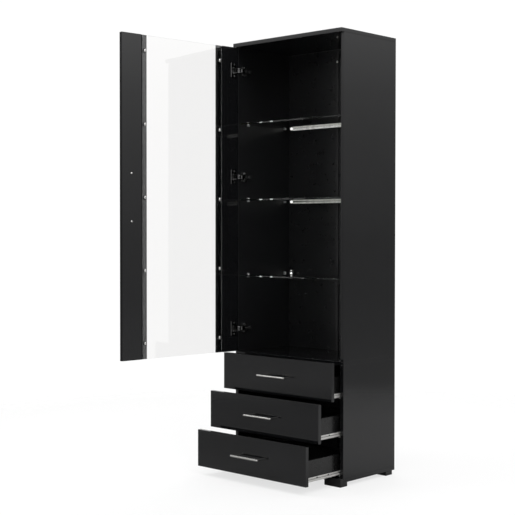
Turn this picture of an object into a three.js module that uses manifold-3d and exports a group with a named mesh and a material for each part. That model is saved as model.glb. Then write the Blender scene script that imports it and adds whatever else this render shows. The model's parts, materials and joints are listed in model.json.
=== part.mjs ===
// Tall display cabinet: one glass door on concealed hinges, three glass shelves with light bars,
// and three drawers on side runners. Millimetres, +Z up.
// Origin: on the floor, at the centre of the carcass footprint. The front faces -Y.
// The door stands open and the drawers are pulled out in steps.

import * as THREE from 'three';
import { mergeVertices } from 'three/addons/utils/BufferGeometryUtils.js';
import Module from 'manifold-3d';

const wasm = await Module();
wasm.setup();

// ---------------------------------------------------------------- driving dimensions

const WIDTH = 600;
const HEIGHT = 1824;
const DEPTH = 358;
const BOARD = 16; // thickness of every carcass board, the door stiles and the drawer fronts
const TOP_OVERHANG = 16.5; // top board past the front edges of the side panels
const SEAT = 0.3; // gap between pieces that are cut to fit each other or stand at an angle

const FOOT_HEIGHT = 17;
const FOOT_WIDTH = 84.5;
const FOOT_LENGTH = 42.5;
const REAR_FOOT_INSET = 17;

const BACK_THICKNESS = 3;
const BACK_INSET = 12; // back face of the back panel to the rear edges
const BACK_GROOVE_DEPTH = 8;
const STRIP_WIDTH = 15;
const STRIP_FRONT = 4; // thickness of the joint strip in front of the back panel
const STRIP_REAR = 1.2;
const STRIP_WEB = 1.2;

const SHELF_COUNT = 3;
const SHELF_THICKNESS = 6;
const SHELF_FRONT_INSET = 12; // behind the front edges of the side panels
const SHELF_SIDE_GAP = 1.5;
const SHELF_REAR_GAP = 14; // to the back panel

const LIGHT_LENGTH = 518;
const LIGHT_HEIGHT = 22;
const LIGHT_DEPTH = 12;
const LIGHT_GRIP = 6; // how far the profile reaches over the glass
const LIGHT_CLIP_WIDTH = 11;
const LIGHT_CLIP_HEIGHT = 36;
const LIGHT_CLIP_X = -251;

const FRONT_GAP = 2.5; // between neighbouring fronts
const TOP_GAP = 2; // above the door
const FRONT_STANDOFF = 1.5; // closed fronts to the carcass edges
const FRONT_SIDE_GAP = 1;

const DRAWER_COUNT = 3;
const DRAWER_FRONT_HEIGHT = 153;
const FIRST_FRONT_RISE = 3; // lowest drawer front above the bottom board
const DRAWER_OPEN = [209, 134.5, 55]; // how far each drawer stands out, bottom one first
const DRAWER_LENGTH = 300;
const DRAWER_BOARD = 12;
const DRAWER_SIDE_BOTTOM = 9; // above the lower edge of its front
const DRAWER_SIDE_HEIGHT = 83;
const DRAWER_GROOVE_BOTTOM = 16;
const DRAWER_GROOVE_HEIGHT = 4;
const DRAWER_GROOVE_DEPTH = 4;
const DRAWER_BOTTOM_THICKNESS = 3;

const RUNNER_SPACE = 12.5; // drawer side to side panel
const RUNNER_LENGTH = 298;
const RUNNER_SHEET = 1.2;

const HANDLE_RADIUS = 4.5;
const HANDLE_POST_RADIUS = 3.5;
const HANDLE_STANDOFF = 30; // face to the centre of the bar
const HANDLE_OVERHANG = 12; // bar past its posts
const DRAWER_HANDLE_SPACING = 128;
const DOOR_HANDLE_SPACING = 192;
const HANDLE_SCREW_RADIUS = 2.5;
const ROUND_SEGMENTS = 24;
const SMALL_SEGMENTS = 14;

const DOOR_OPEN_DEG = 95.5;
const HINGE_STILE_SOLID = 84;
const HINGE_STILE_LIP = 28.5;
const HANDLE_STILE_SOLID = 93;
const HANDLE_STILE_LIP = 28;
const REBATE_DEPTH = 4.6;
const DOOR_GLASS_THICKNESS = 4;
const DOOR_GLASS_PLAY = 4.5; // glass edge to the shoulder of the rebate
const DOOR_GLASS_END_INSET = 1;
const DOOR_EDGE_CHAMFER = 1.5;
const DOOR_HANDLE_INSET = 45; // handle centre line to the free edge

const PIVOT_FROM_EDGE = 6.5;
const PIVOT_FROM_INNER_FACE = 9.5;
const HINGE_END_DISTANCE = 98; // outer hinges to the ends of the door
const HINGE_MIDDLE_RISE = 98; // middle hinge above the middle of the door
const CUP_CENTRE = 22.5; // from the hinge edge
const CUP_RADIUS = 17.5;
const CUP_WALL = 1;
const CUP_DEPTH = 13.3;
const CUP_CAVITY_DEPTH = 12.5;
const FLANGE_HEIGHT = 62;
const FLANGE_LEFT = 13;
const FLANGE_RIGHT = 14;
const FLANGE_THICKNESS = 0.9;
const FLANGE_CORNER = 5;
const FLANGE_WAIST = 6;

const ARM_HOOK_START = 1; // end of the hook past the pivot, towards the door's middle
const ARM_HOOK_NEAR = 1.4; // hook's two faces in front of the pivot
const ARM_HOOK_FAR = 2.6;
const ARM_LEG_NEAR = 4; // leg's two faces off the side panel
const ARM_LEG_FAR = 7;
const ARM_BODY_HEIGHT = 16; // off the side panel
const ARM_BODY_START = 24.5; // behind the front edge of the side panel
const ARM_BODY_END = 66.5;
const ARM_LEG_HALF_WIDTH = 4.5;
const ARM_BODY_HALF_WIDTH = 6.5;
const PLATE_START = 19;
const PLATE_END = 49;
const PLATE_THICKNESS = 3;
const PLATE_HALF_HEIGHT = 22;

// ---------------------------------------------------------------- levels worked out from them

const halfWidth = WIDTH / 2;
const innerHalfWidth = halfWidth - BOARD;
const rearY = DEPTH / 2;
const topFrontY = -DEPTH / 2;
const sideFrontY = topFrontY + TOP_OVERHANG;
const frontInnerY = sideFrontY - FRONT_STANDOFF;
const frontOuterY = frontInnerY - BOARD;

const bottomTopZ = FOOT_HEIGHT + BOARD;
const topUnderZ = HEIGHT - BOARD;
const firstFrontZ = bottomTopZ + FIRST_FRONT_RISE;
const frontPitch = DRAWER_FRONT_HEIGHT + FRONT_GAP;
const dividerTopZ = firstFrontZ + DRAWER_COUNT * frontPitch - FRONT_GAP;
const dividerUnderZ = dividerTopZ - BOARD;
const doorBottomZ = dividerTopZ + FRONT_GAP;
const doorTopZ = topUnderZ - TOP_GAP;
const doorMiddleZ = (doorBottomZ + doorTopZ) / 2;

const backRearY = rearY - BACK_INSET;
const backFrontY = backRearY - BACK_THICKNESS;
const grooveHalfWidth = innerHalfWidth + BACK_GROOVE_DEPTH;
const shelfRearY = backFrontY - SHELF_REAR_GAP;
const shelfPitch = (topUnderZ - dividerTopZ) / (SHELF_COUNT + 1);

// ---------------------------------------------------------------- materials

function finish(color, roughness, metalness = 0) {
  return new THREE.MeshStandardMaterial({ color, roughness, metalness });
}

const glossBlack = finish(0x0c0c0d, 0.06);
const drawerBlack = finish(0x1c1c1e, 0.4);
const backBlack = finish(0x0d0d0f, 0.35);
const footBlack = finish(0x0b0b0c, 0.3);
const stripBlack = finish(0x17171a, 0.45);
const brushedSteel = finish(0xb9b7b2, 0.28, 1);
const hingeNickel = finish(0xa9abad, 0.22, 1);
const runnerZinc = finish(0xb4b4b2, 0.35, 1);
const lightAluminium = finish(0xc2beb4, 0.4, 1);
const clearGlass = new THREE.MeshStandardMaterial({
  color: 0xf2f6f5,
  roughness: 0.02,
  metalness: 0,
  transparent: true,
  opacity: 0.25,
});

// ---------------------------------------------------------------- building blocks

const X = new THREE.Vector3(1, 0, 0);
const Y = new THREE.Vector3(0, 1, 0);
const Z = new THREE.Vector3(0, 0, 1);

// Where the outline's two axes and the way of extrusion go, for each extrusion axis.
const PRISM_BASES = {
  x: { basis: [Y, Z, X], way: 1 },
  y: { basis: [X, Z, Y.clone().negate()], way: -1 },
  z: { basis: [X, Y, Z], way: 1 },
};

// A straight solid of the given outline between two places along an axis.
// The outline's points are (y, z), (x, z) or (x, y) for the axes x, y and z.
function prism(axis, outline, from, to) {
  const shape = new THREE.Shape(outline.map(([a, b]) => new THREE.Vector2(a, b)));
  return prismOfShape(axis, shape, from, to);
}

function prismOfShape(axis, shape, from, to) {
  const { basis, way } = PRISM_BASES[axis];
  const geometry = new THREE.ExtrudeGeometry(shape, {
    depth: to - from,
    bevelEnabled: false,
    curveSegments: SMALL_SEGMENTS,
  });
  geometry.applyMatrix4(new THREE.Matrix4().makeBasis(...basis));
  const start = way > 0 ? from : to;
  const along = { x: X, y: Y, z: Z }[axis].clone().multiplyScalar(start);
  geometry.translate(along.x, along.y, along.z);
  return geometry;
}

function block(low, high) {
  const size = high.map((value, i) => value - low[i]);
  const middle = high.map((value, i) => (value + low[i]) / 2);
  return new THREE.BoxGeometry(...size).translate(...middle);
}

function mirrored(outline, side) {
  return outline.map(([a, b]) => [side * a, b]);
}

function rod(axis, radius, from, to, [a, b], segments = ROUND_SEGMENTS) {
  const geometry = new THREE.CylinderGeometry(radius, radius, to - from, segments);
  const middle = (from + to) / 2;
  if (axis === 'x') {
    return geometry.rotateZ(Math.PI / 2).translate(middle, a, b);
  }
  if (axis === 'y') {
    return geometry.translate(a, middle, b);
  }
  return geometry.rotateX(Math.PI / 2).translate(a, b, middle);
}

function solidOf(geometry) {
  const plain = geometry.clone();
  plain.deleteAttribute('normal');
  plain.deleteAttribute('uv');
  const merged = mergeVertices(plain);
  return new wasm.Manifold(
    new wasm.Mesh({
      numProp: 3,
      vertProperties: new Float32Array(merged.attributes.position.array),
      triVerts: new Uint32Array(merged.index.array),
    }),
  );
}

function geometryOf(solid) {
  const { vertProperties, triVerts } = solid.getMesh();
  const geometry = new THREE.BufferGeometry();
  geometry.setAttribute('position', new THREE.BufferAttribute(vertProperties, 3));
  geometry.setIndex(new THREE.BufferAttribute(triVerts, 1));
  geometry.computeVertexNormals();
  return geometry;
}

function joined(geometries) {
  return geometryOf(geometries.map(solidOf).reduce((all, one) => all.add(one)));
}

function cutBy(geometry, cutters) {
  const cut = cutters.map(solidOf).reduce((rest, one) => rest.subtract(one), solidOf(geometry));
  return geometryOf(cut);
}

const cabinet = new THREE.Group();

function place(parent, name, geometry, material) {
  const mesh = new THREE.Mesh(geometry, material);
  mesh.name = name;
  parent.add(mesh);
  return mesh;
}

const SIDES = { left: -1, right: 1 };

// ---------------------------------------------------------------- carcass

function addCarcass() {
  const top = block([-halfWidth, topFrontY, topUnderZ], [halfWidth, rearY, HEIGHT]);
  place(cabinet, 'top_panel', top, glossBlack);

  const bottom = block([-halfWidth, sideFrontY, FOOT_HEIGHT], [halfWidth, rearY, bottomTopZ]);
  place(cabinet, 'bottom_panel', bottom, glossBlack);

  // The divider reaches the outer faces, and the back panel passes behind it.
  const recessY = backFrontY - SEAT;
  const divider = [
    [-halfWidth, sideFrontY],
    [halfWidth, sideFrontY],
    [halfWidth, rearY],
    [grooveHalfWidth, rearY],
    [grooveHalfWidth, recessY],
    [-grooveHalfWidth, recessY],
    [-grooveHalfWidth, rearY],
    [-halfWidth, rearY],
  ];
  place(cabinet, 'divider_panel', prism('z', divider, dividerUnderZ, dividerTopZ), glossBlack);

  const grooved = [
    [halfWidth, sideFrontY],
    [halfWidth, rearY],
    [innerHalfWidth, rearY],
    [innerHalfWidth, backRearY + SEAT],
    [grooveHalfWidth, backRearY + SEAT],
    [grooveHalfWidth, backFrontY - SEAT],
    [innerHalfWidth, backFrontY - SEAT],
    [innerHalfWidth, sideFrontY],
  ];
  for (const [label, side] of Object.entries(SIDES)) {
    const outline = mirrored(grooved, side);
    const upper = prism('z', outline, dividerTopZ, topUnderZ);
    const lower = prism('z', outline, bottomTopZ, dividerUnderZ);
    place(cabinet, `side_upper_${label}`, upper, glossBlack);
    place(cabinet, `side_lower_${label}`, lower, glossBlack);
  }
}

function addBack() {
  const seam = STRIP_WEB / 2 + SEAT;
  const edge = grooveHalfWidth - SEAT;
  for (const [label, side] of Object.entries(SIDES)) {
    const xs = [side * seam, side * edge].sort((a, b) => a - b);
    const low = [xs[0], backFrontY, bottomTopZ + SEAT];
    const high = [xs[1], backRearY, topUnderZ - SEAT];
    place(cabinet, `back_panel_${label}`, block(low, high), backBlack);
  }

  // H-shaped strip over the vertical joint between the two halves.
  const half = STRIP_WIDTH / 2;
  const web = STRIP_WEB / 2;
  const front = backFrontY - SEAT;
  const rear = backRearY + SEAT;
  const strip = [
    [-half, front - STRIP_FRONT],
    [half, front - STRIP_FRONT],
    [half, front],
    [web, front],
    [web, rear],
    [half, rear],
    [half, rear + STRIP_REAR],
    [-half, rear + STRIP_REAR],
    [-half, rear],
    [-web, rear],
    [-web, front],
    [-half, front],
  ];
  const height = [dividerTopZ + SEAT, topUnderZ - SEAT];
  place(cabinet, 'back_joint_strip', prism('z', strip, ...height), stripBlack);
}

function addFeet() {
  const frontBackY = topFrontY + FOOT_LENGTH;
  const frontFoot = [
    [topFrontY, 0],
    [frontBackY, 0],
    [frontBackY, FOOT_HEIGHT],
    [sideFrontY, FOOT_HEIGHT],
    [sideFrontY, bottomTopZ],
    [topFrontY, bottomTopZ],
  ];
  const rearFootY = rearY - REAR_FOOT_INSET;
  for (const [label, side] of Object.entries(SIDES)) {
    const xs = [side * halfWidth, side * (halfWidth - FOOT_WIDTH)].sort((a, b) => a - b);
    const rearLow = [xs[0], rearFootY - FOOT_LENGTH, 0];
    const rearHigh = [xs[1], rearFootY, FOOT_HEIGHT];
    place(cabinet, `foot_front_${label}`, prism('x', frontFoot, ...xs), footBlack);
    place(cabinet, `foot_rear_${label}`, block(rearLow, rearHigh), footBlack);
  }
}

// ---------------------------------------------------------------- shelves and lights

// C-shaped profile that grips the rear edge of a glass shelf.
function lightProfile(glassZ, height) {
  const front = shelfRearY - LIGHT_GRIP;
  const rear = front + LIGHT_DEPTH;
  const slotHalf = SHELF_THICKNESS / 2 + SEAT;
  const slotRear = shelfRearY + SEAT;
  const low = glassZ - height / 2;
  const high = glassZ + height / 2;
  return [
    [front, low],
    [rear, low],
    [rear, high],
    [front, high],
    [front, glassZ + slotHalf],
    [slotRear, glassZ + slotHalf],
    [slotRear, glassZ - slotHalf],
    [front, glassZ - slotHalf],
  ];
}

function addShelves() {
  const reach = innerHalfWidth - SHELF_SIDE_GAP;
  const frontY = sideFrontY + SHELF_FRONT_INSET;
  const names = ['lower', 'middle', 'upper'];
  names.forEach((name, i) => {
    const middle = dividerTopZ + (i + 1) * shelfPitch;
    const low = [-reach, frontY, middle - SHELF_THICKNESS / 2];
    const high = [reach, shelfRearY, middle + SHELF_THICKNESS / 2];
    place(cabinet, `glass_shelf_${name}`, block(low, high), clearGlass);
    if (name === 'lower') {
      const outline = lightProfile(middle, LIGHT_CLIP_HEIGHT);
      const from = LIGHT_CLIP_X - LIGHT_CLIP_WIDTH / 2;
      const clip = prism('x', outline, from, from + LIGHT_CLIP_WIDTH);
      place(cabinet, 'light_clip_lower', clip, lightAluminium);
    } else {
      const outline = lightProfile(middle, LIGHT_HEIGHT);
      const bar = prism('x', outline, -LIGHT_LENGTH / 2, LIGHT_LENGTH / 2);
      place(cabinet, `light_bar_${name}`, bar, lightAluminium);
    }
  });
}

// ---------------------------------------------------------------- handles

// A round bar along one axis on two posts. The face it stands on is at faceY, looking to -Y.
function barHandle(axis, spacing, faceY, [x, z]) {
  const barY = faceY - HANDLE_STANDOFF;
  const reach = spacing / 2 + HANDLE_OVERHANG;
  const along = axis === 'x' ? x : z;
  const across = axis === 'x' ? [barY, z] : [x, barY];
  const bar = rod(axis, HANDLE_RADIUS, along - reach, along + reach, across);
  const posts = [-1, 1].map((end) => {
    const shift = (end * spacing) / 2;
    const centre = axis === 'x' ? [x + shift, z] : [x, z + shift];
    return rod('y', HANDLE_POST_RADIUS, barY, faceY - SEAT, centre, SMALL_SEGMENTS);
  });
  return joined([bar, ...posts]);
}

function handleScrewHoles(axis, spacing, fromY, toY, [x, z]) {
  return [-1, 1].map((end) => {
    const shift = (end * spacing) / 2;
    const centre = axis === 'x' ? [x + shift, z] : [x, z + shift];
    return rod('y', HANDLE_SCREW_RADIUS, fromY - 1, toY + 1, centre, SMALL_SEGMENTS);
  });
}

// ---------------------------------------------------------------- door

const doorWidth = WIDTH - 2 * FRONT_SIDE_GAP;
const pivotX = -halfWidth + FRONT_SIDE_GAP + PIVOT_FROM_EDGE;
const pivotY = frontInnerY - PIVOT_FROM_INNER_FACE;
const hingeHeights = {
  lower: doorBottomZ + HINGE_END_DISTANCE,
  middle: doorMiddleZ + HINGE_MIDDLE_RISE,
  upper: doorTopZ - HINGE_END_DISTANCE,
};

// Door pieces are drawn closed, as distances from the pivot: x from the hinge edge, y from inner face.
const doorX = (fromEdge) => fromEdge - PIVOT_FROM_EDGE;
const doorY = (fromInnerFace) => PIVOT_FROM_INNER_FACE - fromInnerFace;

function hingeCup(z) {
  const radius = CUP_RADIUS - CUP_WALL;
  const x = doorX(CUP_CENTRE);
  const rimY = doorY(-SEAT - FLANGE_THICKNESS);
  const flangeY = doorY(-SEAT);
  const half = FLANGE_HEIGHT / 2;
  const left = x - FLANGE_LEFT;
  const right = x + FLANGE_RIGHT;
  const flange = new THREE.Shape();
  flange.moveTo(left + FLANGE_CORNER, z - half);
  flange.lineTo(right - FLANGE_CORNER, z - half);
  flange.quadraticCurveTo(right, z - half, right, z - half + FLANGE_CORNER);
  flange.lineTo(right, z + half - FLANGE_CORNER);
  flange.quadraticCurveTo(right, z + half, right - FLANGE_CORNER, z + half);
  flange.lineTo(left + FLANGE_CORNER, z + half);
  flange.quadraticCurveTo(left, z + half, left, z + half - FLANGE_CORNER);
  flange.quadraticCurveTo(left + FLANGE_WAIST, z, left, z - half + FLANGE_CORNER);
  flange.quadraticCurveTo(left, z - half, left + FLANGE_CORNER, z - half);
  const plate = prismOfShape('y', flange, flangeY, rimY);
  const shell = rod('y', CUP_RADIUS, doorY(CUP_DEPTH), rimY, [x, z]);
  const cavity = rod('y', radius, doorY(CUP_CAVITY_DEPTH), rimY + 1, [x, z]);
  return cutBy(joined([plate, shell]), [cavity]);
}

function addDoor() {
  const door = new THREE.Group();
  door.position.set(pivotX, pivotY, 0);
  door.rotation.z = THREE.MathUtils.degToRad(-DOOR_OPEN_DEG);
  cabinet.add(door);

  const lipY = doorY(REBATE_DEPTH);
  const innerY = doorY(0);
  const outerY = doorY(BOARD);
  const hingeStile = [
    [doorX(0), outerY],
    [doorX(HINGE_STILE_SOLID + HINGE_STILE_LIP), outerY],
    [doorX(HINGE_STILE_SOLID + HINGE_STILE_LIP), lipY],
    [doorX(HINGE_STILE_SOLID), lipY],
    [doorX(HINGE_STILE_SOLID), innerY],
    [doorX(DOOR_EDGE_CHAMFER), innerY],
    [doorX(0), doorY(DOOR_EDGE_CHAMFER)],
  ];
  const bores = Object.values(hingeHeights).map((z) => {
    const boreRadius = CUP_RADIUS + SEAT;
    return rod('y', boreRadius, doorY(CUP_DEPTH + SEAT), innerY + 1, [doorX(CUP_CENTRE), z]);
  });
  const bored = cutBy(prism('z', hingeStile, doorBottomZ, doorTopZ), bores);
  place(door, 'door_stile_hinge', bored, glossBlack);

  const shoulder = doorWidth - HANDLE_STILE_SOLID;
  const handleStile = [
    [doorX(shoulder - HANDLE_STILE_LIP), outerY],
    [doorX(doorWidth), outerY],
    [doorX(doorWidth), innerY],
    [doorX(shoulder), innerY],
    [doorX(shoulder), lipY],
    [doorX(shoulder - HANDLE_STILE_LIP), lipY],
  ];
  const handleCentre = [doorX(doorWidth - DOOR_HANDLE_INSET), doorMiddleZ];
  const holes = handleScrewHoles('z', DOOR_HANDLE_SPACING, outerY, innerY, handleCentre);
  const drilled = cutBy(prism('z', handleStile, doorBottomZ, doorTopZ), holes);
  place(door, 'door_stile_handle', drilled, glossBlack);

  const glassOuterY = lipY + SEAT;
  const glassLow = [
    doorX(HINGE_STILE_SOLID + DOOR_GLASS_PLAY),
    glassOuterY,
    doorBottomZ + DOOR_GLASS_END_INSET,
  ];
  const glassHigh = [
    doorX(shoulder - DOOR_GLASS_PLAY),
    glassOuterY + DOOR_GLASS_THICKNESS,
    doorTopZ - DOOR_GLASS_END_INSET,
  ];
  place(door, 'door_glass', block(glassLow, glassHigh), clearGlass);

  const handle = barHandle('z', DOOR_HANDLE_SPACING, outerY, handleCentre);
  place(door, 'door_handle', handle, brushedSteel);

  for (const [label, z] of Object.entries(hingeHeights)) {
    place(door, `hinge_cup_${label}`, hingeCup(z), hingeNickel);
  }
}

// Fixed half of a hinge: mounting plate, arm, and the hook that reaches into the cup.
function hingeArm(z) {
  const wallX = -innerHalfWidth;
  const hookNearY = pivotY - ARM_HOOK_NEAR;
  const hookFarY = pivotY - ARM_HOOK_FAR;
  const legX = [wallX + ARM_LEG_NEAR, wallX + ARM_LEG_FAR];
  const bodyY = [sideFrontY + ARM_BODY_START, sideFrontY + ARM_BODY_END];
  const plateX = wallX + SEAT + PLATE_THICKNESS;
  const overlap = 1;
  const leg = [
    [pivotX + ARM_HOOK_START, hookFarY],
    [legX[1], hookFarY],
    [legX[1], bodyY[0] + overlap],
    [legX[0], bodyY[0] + overlap],
    [legX[0], hookNearY],
    [pivotX + ARM_HOOK_START, hookNearY],
  ];
  const slope = ARM_BODY_HEIGHT - ARM_LEG_FAR;
  const body = [
    [plateX - overlap, bodyY[0]],
    [legX[1], bodyY[0] - slope],
    [wallX + ARM_BODY_HEIGHT, bodyY[0]],
    [wallX + ARM_BODY_HEIGHT, bodyY[1] - slope],
    [legX[1], bodyY[1]],
    [plateX - overlap, bodyY[1]],
  ];
  const plate = block(
    [wallX + SEAT, sideFrontY + PLATE_START, z - PLATE_HALF_HEIGHT],
    [plateX, sideFrontY + PLATE_END, z + PLATE_HALF_HEIGHT],
  );
  return joined([
    prism('z', leg, z - ARM_LEG_HALF_WIDTH, z + ARM_LEG_HALF_WIDTH),
    prism('z', body, z - ARM_BODY_HALF_WIDTH, z + ARM_BODY_HALF_WIDTH),
    plate,
  ]);
}

function addHingeArms() {
  for (const [label, z] of Object.entries(hingeHeights)) {
    place(cabinet, `hinge_arm_${label}`, hingeArm(z), hingeNickel);
  }
}

// ---------------------------------------------------------------- drawers and runners

const drawerHalfWidth = innerHalfWidth - RUNNER_SPACE;
const drawerInnerHalfWidth = drawerHalfWidth - DRAWER_BOARD;

// Runner sections: distance out from the drawer's side, and height above the front's lower edge.
const DRAWER_RUNNER = [
  [-10, 7.5],
  [1.5, 7.5],
  [1.5, 14.8],
  [7.3, 14.8],
  [7.3, 12.5],
  [8.5, 12.5],
  [8.5, 16],
  [1.5, 16],
  [1.5, 25],
  [0.3, 25],
  [0.3, 8.7],
  [-10, 8.7],
];
const CABINET_RUNNER = [
  [3, 4.5],
  [12.5, 4.5],
  [12.5, 25.5],
  [4, 25.5],
  [4, 24.3],
  [11.3, 24.3],
  [11.3, 5.7],
  [4.2, 5.7],
  [4.2, 9],
  [3, 9],
];

function runnerOutline(section, side, baseZ) {
  return section.map(([out, up]) => [side * (drawerHalfWidth + out), baseZ + up]);
}

function addDrawer(name, baseZ, open) {
  const innerY = frontInnerY - open;
  const outerY = frontOuterY - open;
  const rearEndY = innerY + DRAWER_LENGTH;
  const frontHalfWidth = halfWidth - FRONT_SIDE_GAP;
  const sideLowZ = baseZ + DRAWER_SIDE_BOTTOM;
  const sideHighZ = sideLowZ + DRAWER_SIDE_HEIGHT;
  const grooveLowZ = baseZ + DRAWER_GROOVE_BOTTOM;
  const grooveHighZ = grooveLowZ + DRAWER_GROOVE_HEIGHT;
  const handleCentre = [0, baseZ + DRAWER_FRONT_HEIGHT / 2];

  const plainFront = block(
    [-frontHalfWidth, outerY, baseZ],
    [frontHalfWidth, innerY, baseZ + DRAWER_FRONT_HEIGHT],
  );
  const holes = handleScrewHoles('x', DRAWER_HANDLE_SPACING, outerY, innerY, handleCentre);
  place(cabinet, `drawer_${name}_front`, cutBy(plainFront, holes), glossBlack);

  const side = [
    [drawerHalfWidth, sideLowZ],
    [drawerHalfWidth, sideHighZ],
    [drawerInnerHalfWidth, sideHighZ],
    [drawerInnerHalfWidth, grooveHighZ],
    [drawerInnerHalfWidth + DRAWER_GROOVE_DEPTH, grooveHighZ],
    [drawerInnerHalfWidth + DRAWER_GROOVE_DEPTH, grooveLowZ],
    [drawerInnerHalfWidth, grooveLowZ],
    [drawerInnerHalfWidth, sideLowZ],
  ];
  for (const [label, sign] of Object.entries(SIDES)) {
    const board = prism('y', mirrored(side, sign), innerY, rearEndY);
    place(cabinet, `drawer_${name}_side_${label}`, board, drawerBlack);
    const moving = runnerOutline(DRAWER_RUNNER, sign, baseZ);
    const fixed = runnerOutline(CABINET_RUNNER, sign, baseZ);
    const movingGeometry = prism('y', moving, innerY + 1, innerY + 1 + RUNNER_LENGTH);
    const fixedGeometry = prism('y', fixed, sideFrontY + 2, sideFrontY + 2 + RUNNER_LENGTH);
    place(cabinet, `drawer_${name}_runner_${label}`, movingGeometry, runnerZinc);
    place(cabinet, `cabinet_runner_${name}_${label}`, fixedGeometry, runnerZinc);
  }

  const back = block(
    [-drawerInnerHalfWidth, rearEndY - DRAWER_BOARD, grooveHighZ],
    [drawerInnerHalfWidth, rearEndY, sideHighZ],
  );
  place(cabinet, `drawer_${name}_back`, back, drawerBlack);

  const play = (DRAWER_GROOVE_HEIGHT - DRAWER_BOTTOM_THICKNESS) / 2;
  const bottomReach = drawerInnerHalfWidth + DRAWER_GROOVE_DEPTH - play;
  const bottom = block(
    [-bottomReach, innerY + play, grooveLowZ + play],
    [bottomReach, rearEndY, grooveHighZ - play],
  );
  place(cabinet, `drawer_${name}_bottom`, bottom, backBlack);

  const handle = barHandle('x', DRAWER_HANDLE_SPACING, outerY, handleCentre);
  place(cabinet, `drawer_${name}_handle`, handle, brushedSteel);
}

function addDrawers() {
  const names = ['bottom', 'middle', 'top'];
  names.forEach((name, i) => addDrawer(name, firstFrontZ + i * frontPitch, DRAWER_OPEN[i]));
}

addCarcass();
addBack();
addFeet();
addShelves();
addDoor();
addHingeArms();
addDrawers();

export default cabinet;
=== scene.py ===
"""Looks of a tall gloss-black display cabinet with one glass door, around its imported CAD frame.

Blender 4.5, metres, in the row frame: origin on the floor under the carcass, front towards -Y.
"""

import json
import math

import bmesh
import bpy
from mathutils import Matrix, Vector


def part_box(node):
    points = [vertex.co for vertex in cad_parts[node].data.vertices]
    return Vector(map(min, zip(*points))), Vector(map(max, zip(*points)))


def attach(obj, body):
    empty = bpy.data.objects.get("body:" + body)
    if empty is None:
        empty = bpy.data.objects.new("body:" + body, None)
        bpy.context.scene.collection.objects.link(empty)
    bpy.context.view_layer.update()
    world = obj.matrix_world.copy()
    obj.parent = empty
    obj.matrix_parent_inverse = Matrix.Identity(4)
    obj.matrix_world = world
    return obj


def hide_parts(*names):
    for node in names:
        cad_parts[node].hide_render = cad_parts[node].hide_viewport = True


MM = 0.001
X_AXIS, Y_AXIS, Z_AXIS = Vector((1, 0, 0)), Vector((0, 1, 0)), Vector((0, 0, 1))
LEVELS = ("lower", "middle", "upper")
DRAWERS = ("bottom", "middle", "top")
SIDES = (("left", -1), ("right", 1))
ENDS = (("low", -1), ("high", 1))
HALF_TURN = [math.pi * i / 8 for i in range(9)]

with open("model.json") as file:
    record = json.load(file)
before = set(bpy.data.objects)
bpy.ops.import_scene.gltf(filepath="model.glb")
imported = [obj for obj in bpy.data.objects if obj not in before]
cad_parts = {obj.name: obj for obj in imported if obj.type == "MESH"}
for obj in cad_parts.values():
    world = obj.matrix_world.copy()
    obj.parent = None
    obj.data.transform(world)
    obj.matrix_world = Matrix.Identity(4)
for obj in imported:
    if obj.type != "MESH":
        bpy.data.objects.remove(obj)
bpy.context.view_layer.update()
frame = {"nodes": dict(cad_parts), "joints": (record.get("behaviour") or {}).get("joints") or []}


# ---------------------------------------------------------------- camera

CAMERA_PLACE = (3.1307, -3.6532, 1.0228)
CAMERA_AZIMUTH = math.radians(42.602)
CAMERA_DOWN = math.radians(1.251)
CAMERA_ROLL = math.radians(0.069)
CAMERA_LENS = 79.073
CAMERA_SHIFT = (-0.03077, -0.00472)


def make_camera():
    """The camera at the reference viewing angle, with a small shift for its framing."""
    data = bpy.data.cameras.new("camera")
    data.lens = CAMERA_LENS
    data.sensor_width = 36
    data.shift_x, data.shift_y = CAMERA_SHIFT
    data.clip_end = 100
    camera = bpy.data.objects.new("camera", data)
    bpy.context.scene.collection.objects.link(camera)
    camera.matrix_world = (
        Matrix.Translation(CAMERA_PLACE)
        @ Matrix.Rotation(CAMERA_AZIMUTH, 4, "Z")
        @ Matrix.Rotation(math.pi / 2 - CAMERA_DOWN, 4, "X")
        @ Matrix.Rotation(CAMERA_ROLL, 4, "Z")
    )
    bpy.context.scene.camera = camera


# ---------------------------------------------------------------- node helpers

RAMP_SCALE = 2.0
# Most of a noise value's spread lies between these two.
NOISE_RANGE = (0.3, 0.7)


def add(tree, kind, inputs=None, **settings):
    """A shader node with its settings, and its inputs set to values or linked to sockets."""
    made = tree.nodes.new("ShaderNode" + kind)
    for key, value in settings.items():
        setattr(made, key, value)
    for key, value in (inputs or {}).items():
        if isinstance(value, bpy.types.NodeSocket):
            tree.links.new(value, made.inputs[key])
        else:
            made.inputs[key].default_value = value
    return made


def maths(tree, operation, first, second=0.0):
    """The output of one Math node."""
    return add(tree, "Math", {0: first, 1: second}, operation=operation).outputs[0]


def blend(tree, factor, low, high):
    """The colour between low and high at factor."""
    made = add(tree, "Mix", {0: factor, 6: low, 7: high}, data_type="RGBA")
    return made.outputs[2]


def span(tree, value, low, high, to_low, to_high, smooth=False):
    """value mapped from low..high to to_low..to_high, and clamped."""
    kind = "SMOOTHSTEP" if smooth else "LINEAR"
    ends = {"Value": value, 1: low, 2: high, 3: to_low, 4: to_high}
    return add(tree, "MapRange", ends, interpolation_type=kind).outputs[0]


def noise(tree, place, scale, detail=3.0, roughness=0.5, stretch=(1, 1, 1)):
    """A noise value over the object's own coordinates, stretched along an axis."""
    spread = add(tree, "Mapping", {"Vector": place, "Scale": stretch}).outputs[0]
    ends = {"Vector": spread, "Scale": scale, "Detail": detail, "Roughness": roughness}
    return add(tree, "TexNoise", ends).outputs[0]


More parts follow.
